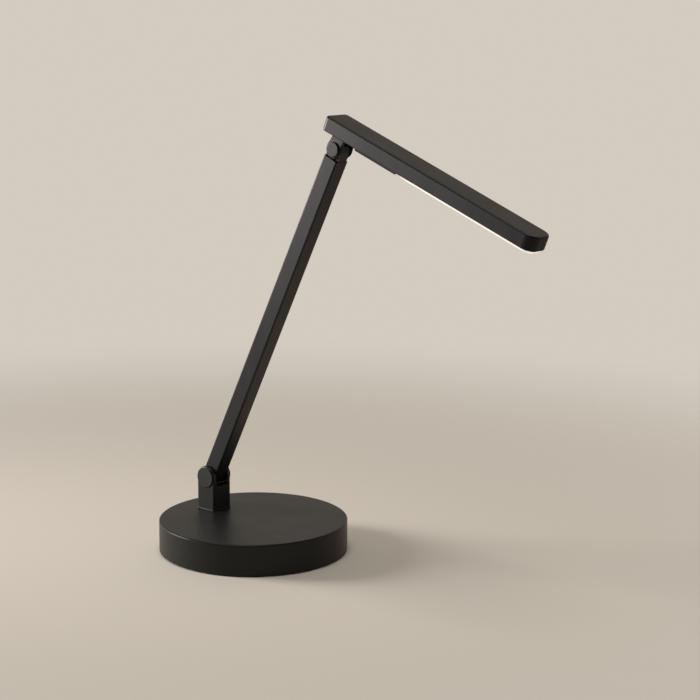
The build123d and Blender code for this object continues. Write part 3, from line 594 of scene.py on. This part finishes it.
def makeLeds():
    low, high = boxIn(barSpace, "led_chips")
    middle = (low + high) / 2
    size = Matrix.Diagonal((ledShape["length"], high.y - low.y, high.z - low.z, 1))
    first = low.x + ledShape["length"] / 2
    step = (high.x - low.x - ledShape["length"]) / (ledShape["count"] - 1)
    shape = bmesh.new()
    for i in range(ledShape["count"]):
        place = Matrix.Translation((first + step * i, middle.y, middle.z))
        made = bmesh.ops.create_cube(shape, size=1, matrix=place @ size)
        faces = {face for corner in made["verts"] for face in corner.link_faces}
        lit = min(faces, key=lambda face: face.calc_center_median().z)
        bmesh.ops.inset_individual(shape, faces=[lit], thickness=ledShape["lip"])
        bmesh.ops.inset_individual(shape, faces=[lit], thickness=ledShape["slope"], depth=-ledShape["well"])
        lit.material_index = 1        # phosphor
    bmesh.ops.transform(shape, matrix=barSpace, verts=shape.verts)
    newPiece("ledPackages", shape, "head", ["led_package", "phosphor"], ["led_chips"])


makeLeds()


# Contacts above and below the charging inlet's tongue

contactShape = {"count": 12, "pitch": 0.0005, "width": 0.00026, "length": 0.0030, "start": 0.0004,
                "tongueHalf": 0.00035, "proud": 0.00003}


def makeInletContacts():
    low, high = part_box("inlet_insulator")
    middleZ = (low.z + high.z) / 2
    x = low.x + contactShape["start"] + contactShape["length"] / 2
    size = Matrix.Diagonal((contactShape["length"], contactShape["width"], 2 * contactShape["proud"], 1))
    shape = bmesh.new()
    for side in (-1, 1):
        z = middleZ + side * contactShape["tongueHalf"]
        for i in range(contactShape["count"]):
            y = (i - (contactShape["count"] - 1) / 2) * contactShape["pitch"]
            bmesh.ops.create_cube(shape, size=1, matrix=Matrix.Translation((x, y, z)) @ size)
    newPiece("inletContacts", shape, "base", ["gold"])


makeInletContacts()


# Floor, lights and camera

floorSheet = {"radius": 2.0, "steps": 96, "colour": (0.82, 0.75, 0.66), "roughness": 0.8, "specular": 0.1,
              "fade": (0.2, 1.0)}


def makeFloor():
    shape = bmesh.new()
    bmesh.ops.create_circle(shape, cap_ends=True, segments=floorSheet["steps"], radius=floorSheet["radius"])
    mesh = bpy.data.meshes.new("paleFloor")
    shape.to_mesh(mesh)
    shape.free()
    floor = bpy.data.objects.new("paleFloor", mesh)
    bpy.context.scene.collection.objects.link(floor)
    finish, tree, shader = newFinish("paleFloor", floorSheet["colour"], floorSheet["roughness"],
                                     specular=floorSheet["specular"])
    # thins out into the background with distance
    distance = addNode(tree, "ShaderNodeVectorMath", -1000, 300, operation="LENGTH")
    tree.links.new(objectCoordinates(tree), distance.inputs[0])
    thin = mapRange(tree, -800, 300, distance.outputs["Value"], *floorSheet["fade"], 0, 1, "SMOOTHSTEP")
    clear = addNode(tree, "ShaderNodeBsdfTransparent", 0, -200)
    blend = addNode(tree, "ShaderNodeMixShader", 300, 100)
    tree.links.new(thin, blend.inputs["Fac"])
    tree.links.new(shader.outputs[0], blend.inputs[1])
    tree.links.new(clear.outputs[0], blend.inputs[2])
    tree.links.new(blend.outputs[0], tree.nodes["Material Output"].inputs["Surface"])
    mesh.materials.append(finish)


camera = {"place": (1.027405, -1.097141, 0.47078), "heading": math.radians(39.98),
          "pitch": math.radians(11.14), "roll": math.radians(0.38), "lens": 92.82, "sensor": 36}


def makeCamera():
    data = bpy.data.cameras.new("photoView")
    data.sensor_width = camera["sensor"]
    data.lens = camera["lens"]
    eye = bpy.data.objects.new("photoView", data)
    turn = Matrix.Rotation(camera["heading"], 3, "Z") @ Matrix.Rotation(math.pi / 2 - camera["pitch"], 3, "X")
    turn = turn @ Matrix.Rotation(camera["roll"], 3, "Z")
    eye.matrix_world = Matrix.Translation(camera["place"]) @ turn.to_4x4()
    bpy.context.scene.collection.objects.link(eye)
    bpy.context.scene.camera = eye


# one soft panel on the left of the photo's view, and broad light from overhead
sidePanel = {"place": (-1.22, -0.70, 0.50), "aim": (0.06, 0, 0.34), "width": 0.55, "height": 0.55,
             "power": 4.15, "spread": math.radians(65), "colour": (1.0, 0.985, 0.96)}
overhead = {"place": (0.05, -0.12, 1.2), "aim": (0, 0, 0), "power": 1.0, "angle": math.radians(28),
            "colour": (1.0, 0.97, 0.93)}


def addLamp(name, kind, look):
    data = bpy.data.lights.new(name, kind)
    data.energy = look["power"]
    data.color = look["colour"]
    lamp = bpy.data.objects.new(name, data)
    direction = Vector(look["aim"]) - Vector(look["place"])
    turn = direction.to_track_quat("-Z", "Y").to_matrix().to_4x4()
    lamp.matrix_world = Matrix.Translation(look["place"]) @ turn
    lamp.visible_camera = False
    bpy.context.scene.collection.objects.link(lamp)
    return data


def makeLamps():
    panel = addLamp("sidePanel", "AREA", sidePanel)
    panel.shape = "RECTANGLE"
    panel.size = sidePanel["width"]
    panel.size_y = sidePanel["height"]
    panel.spread = sidePanel["spread"]
    sun = addLamp("overhead", "SUN", overhead)
    sun.angle = overhead["angle"]


sky = {"pale": (0.66, 0.60, 0.53), "dim": (0.02, 0.02, 0.02), "ring": (0.14, 0.42),
       "backSide": (-0.50, 0.80, 0.34), "backSpread": (0.55, 0.94), "back": 0.74,
       "frontSpread": (-0.3, 0.75), "front": 0.35, "belowSpread": (-0.3, 0.02), "below": 0.4}


def makeSky():
    # pale near the horizon and behind the lamp, dim above the other sides;
    # in front and below the horizon it gives less light than the camera sees there
    world = bpy.data.worlds.new("studio")
    world.use_nodes = True
    tree = world.node_tree
    where = addNode(tree, "ShaderNodeTexCoord", -1000, 0)
    height = addNode(tree, "ShaderNodeSeparateXYZ", -800, 200)
    facing = addNode(tree, "ShaderNodeVectorMath", -800, 0, operation="DOT_PRODUCT")
    facing.inputs[1].default_value = Vector(sky["backSide"]).normalized()
    tree.links.new(where.outputs["Generated"], height.inputs[0])
    tree.links.new(where.outputs["Generated"], facing.inputs[0])
    up, towardsBack = height.outputs["Z"], facing.outputs["Value"]
    ring = mapRange(tree, -600, 200, up, *sky["ring"], 1, 0, "SMOOTHSTEP")
    back = mapRange(tree, -600, 0, towardsBack, *sky["backSpread"], 0, sky["back"], "SMOOTHSTEP")
    front = mapRange(tree, -600, 400, towardsBack, *sky["frontSpread"], sky["front"], 1, "SMOOTHSTEP")
    below = mapRange(tree, -600, 600, up, *sky["belowSpread"], sky["below"], 1, "SMOOTHSTEP")
    seen = addNode(tree, "ShaderNodeLightPath", -800, 600).outputs["Is Camera Ray"]
    given = combine(tree, -500, 500, "MULTIPLY", front, below)
    share = combine(tree, -400, 400, "MAXIMUM", given, seen)
    lit = combine(tree, -400, 250, "MULTIPLY", ring, share)
    paleness = combine(tree, -400, 100, "MAXIMUM", lit, back)
    colour = mixColours(tree, -200, 100, paleness, sky["dim"], sky["pale"])
    tree.links.new(colour, tree.nodes["Background"].inputs["Color"])
    bpy.context.scene.world = world


makeFloor()
makeCamera()
makeLamps()
makeSky()
bpy.context.scene.view_settings.view_transform = "Standard"
print("stage: floor, lights and camera made")
